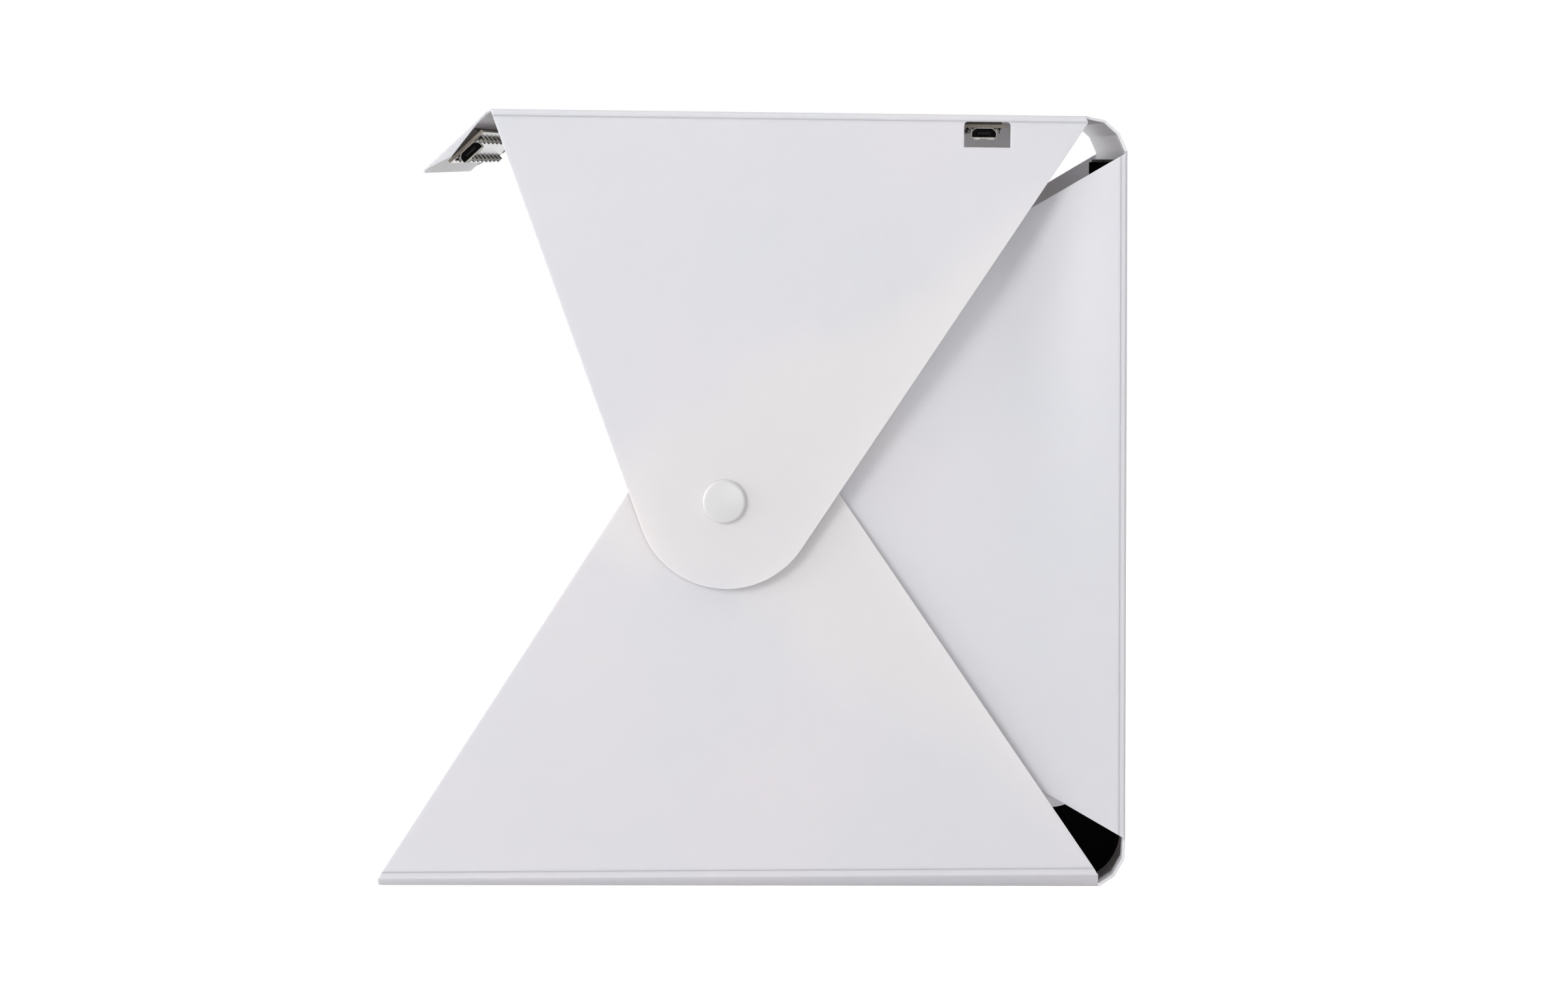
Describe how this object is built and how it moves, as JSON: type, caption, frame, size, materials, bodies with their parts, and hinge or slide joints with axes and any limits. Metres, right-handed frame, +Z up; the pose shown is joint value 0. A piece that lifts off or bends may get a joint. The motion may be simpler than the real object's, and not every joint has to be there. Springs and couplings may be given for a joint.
{
  "type": "light tent cube",
  "caption": "Folding tabletop photo light box of creased white sheet, with snap-closed side wings, LED strip boards, a tilting front flap and a black backdrop.",
  "frame": {"origin": "under the middle of the object, on the surface that it stands on", "axes": "+Z up, +X to the object's right-hand side as seen from the open front, the open front towards -Y and the back panel towards +Y"},
  "size_m": [0.2308, 0.2312, 0.2397],
  "materials": {
    "white_sheet": "satin translucent polypropylene sheet",
    "snap_plastic": "smooth moulded",
    "black_sheet": "matt",
    "hook_and_loop": "nylon hook and loop",
    "foam_tape": "foam",
    "circuit_board": "white solder mask",
    "led_package": "white body, yellow phosphor",
    "socket_metal": "tinned",
    "socket_plastic": "moulded"
  },
  "bodies": {
    "floor": {"floor_panel": "white_sheet", "lower_skirt_right": "white_sheet", "lower_skirt_left": "white_sheet", "lower_bend_1": "white_sheet"},
    "back": {"lower_bend_2": "white_sheet", "lower_bend_3": "white_sheet", "back_panel": "white_sheet", "hook_strip_right": "hook_and_loop", "hook_strip_left": "hook_and_loop", "upper_bend_1": "white_sheet", "upper_bend_2": "white_sheet"},
    "top": {"upper_bend_3": "white_sheet", "top_panel": "white_sheet", "top_light_tape": "foam_tape", "top_light_board": "circuit_board", "top_light_leds_rear": "led_package", "top_light_leds_front": "led_package", "top_light_usb_shell": "socket_metal", "top_light_usb_tongue": "socket_plastic"},
    "flap": {"front_flap": "white_sheet", "flap_end_tab_right": "white_sheet", "flap_end_tab_left": "white_sheet", "flap_light_tape": "foam_tape", "flap_light_board": "circuit_board", "flap_light_leds_rear": "led_package", "flap_light_leds_front": "led_package", "flap_light_usb_shell": "socket_metal", "flap_light_usb_tongue": "socket_plastic"},
    "backdrop": {"backdrop_sheet": "black_sheet", "loop_strip_right": "hook_and_loop", "loop_strip_left": "hook_and_loop"},
    "upper_side_right": {"upper_wing_right": "white_sheet", "snap_cap_right": "snap_plastic", "snap_socket_right": "snap_plastic"},
    "lower_side_right": {"lower_wing_right": "white_sheet", "snap_middle_stud_right": "snap_plastic", "snap_middle_socket_right": "snap_plastic"},
    "back_side_right": {"back_wing_right": "white_sheet", "snap_inner_stud_right": "snap_plastic", "snap_inner_cap_right": "snap_plastic"},
    "upper_side_left": {"upper_wing_left": "white_sheet", "snap_cap_left": "snap_plastic", "snap_socket_left": "snap_plastic"},
    "lower_side_left": {"lower_wing_left": "white_sheet", "snap_middle_stud_left": "snap_plastic", "snap_middle_socket_left": "snap_plastic"},
    "back_side_left": {"back_wing_left": "white_sheet", "snap_inner_stud_left": "snap_plastic", "snap_inner_cap_left": "snap_plastic"}
  },
  "joints": [
    {"name": "back_fold", "type": "hinge", "parent": "floor", "child": "back", "pos_m": [0, 0.11231, 0.00327], "axis": [-1, 0, 0], "range_deg": [0, 89.5]},
    {"name": "top_fold", "type": "hinge", "parent": "back", "child": "top", "pos_m": [0, 0.10872, 0.23625], "axis": [-1, 0, 0], "range_deg": [0, 89.5]},
    {"name": "flap_tilt", "type": "hinge", "parent": "top", "child": "flap", "pos_m": [0, -0.08033, 0.23974], "axis": [1, 0, 0], "range_deg": [-43.5, 46.5]},
    {"name": "right_side_open", "type": "hinge", "parent": "top", "child": "upper_side_right", "pos_m": [0.113, -0.08033, 0.23974], "axis": [0, -0.9999, 0.0122], "range_deg": [0, 85]},
    {"name": "right_lower_side_open", "type": "hinge", "parent": "floor", "child": "lower_side_right", "pos_m": [0.113, 0.10728, 0.00385], "axis": [0, 1, 0.0074], "range_deg": [0, 51]},
    {"name": "right_back_side_open", "type": "hinge", "parent": "back", "child": "back_side_right", "pos_m": [0.112, 0.11562, 0.22676], "axis": [0, 0, 1], "range_deg": [0, 32.3]},
    {"name": "left_side_open", "type": "hinge", "parent": "top", "child": "upper_side_left", "pos_m": [-0.113, -0.08033, 0.23974], "axis": [0, 0.9999, -0.0122], "range_deg": [0, 85]},
    {"name": "left_lower_side_open", "type": "hinge", "parent": "floor", "child": "lower_side_left", "pos_m": [-0.113, 0.10728, 0.00385], "axis": [0, -1, -0.0074], "range_deg": [0, 51]},
    {"name": "left_back_side_open", "type": "hinge", "parent": "back", "child": "back_side_left", "pos_m": [-0.112, 0.11562, 0.22676], "axis": [0, 0, -1], "range_deg": [0, 32.3]},
    {"name": "backdrop_slide", "type": "slide", "parent": "floor", "child": "backdrop", "axis": [0, -1, 0], "range_m": [0, 0.15]}
  ],
  "couplings": [
    {"joint": "right_lower_side_open", "follows": "right_side_open", "ratio": 0.6},
    {"joint": "right_back_side_open", "follows": "right_side_open", "ratio": 0.38},
    {"joint": "left_lower_side_open", "follows": "left_side_open", "ratio": 0.6},
    {"joint": "left_back_side_open", "follows": "left_side_open", "ratio": 0.38}
  ]
}
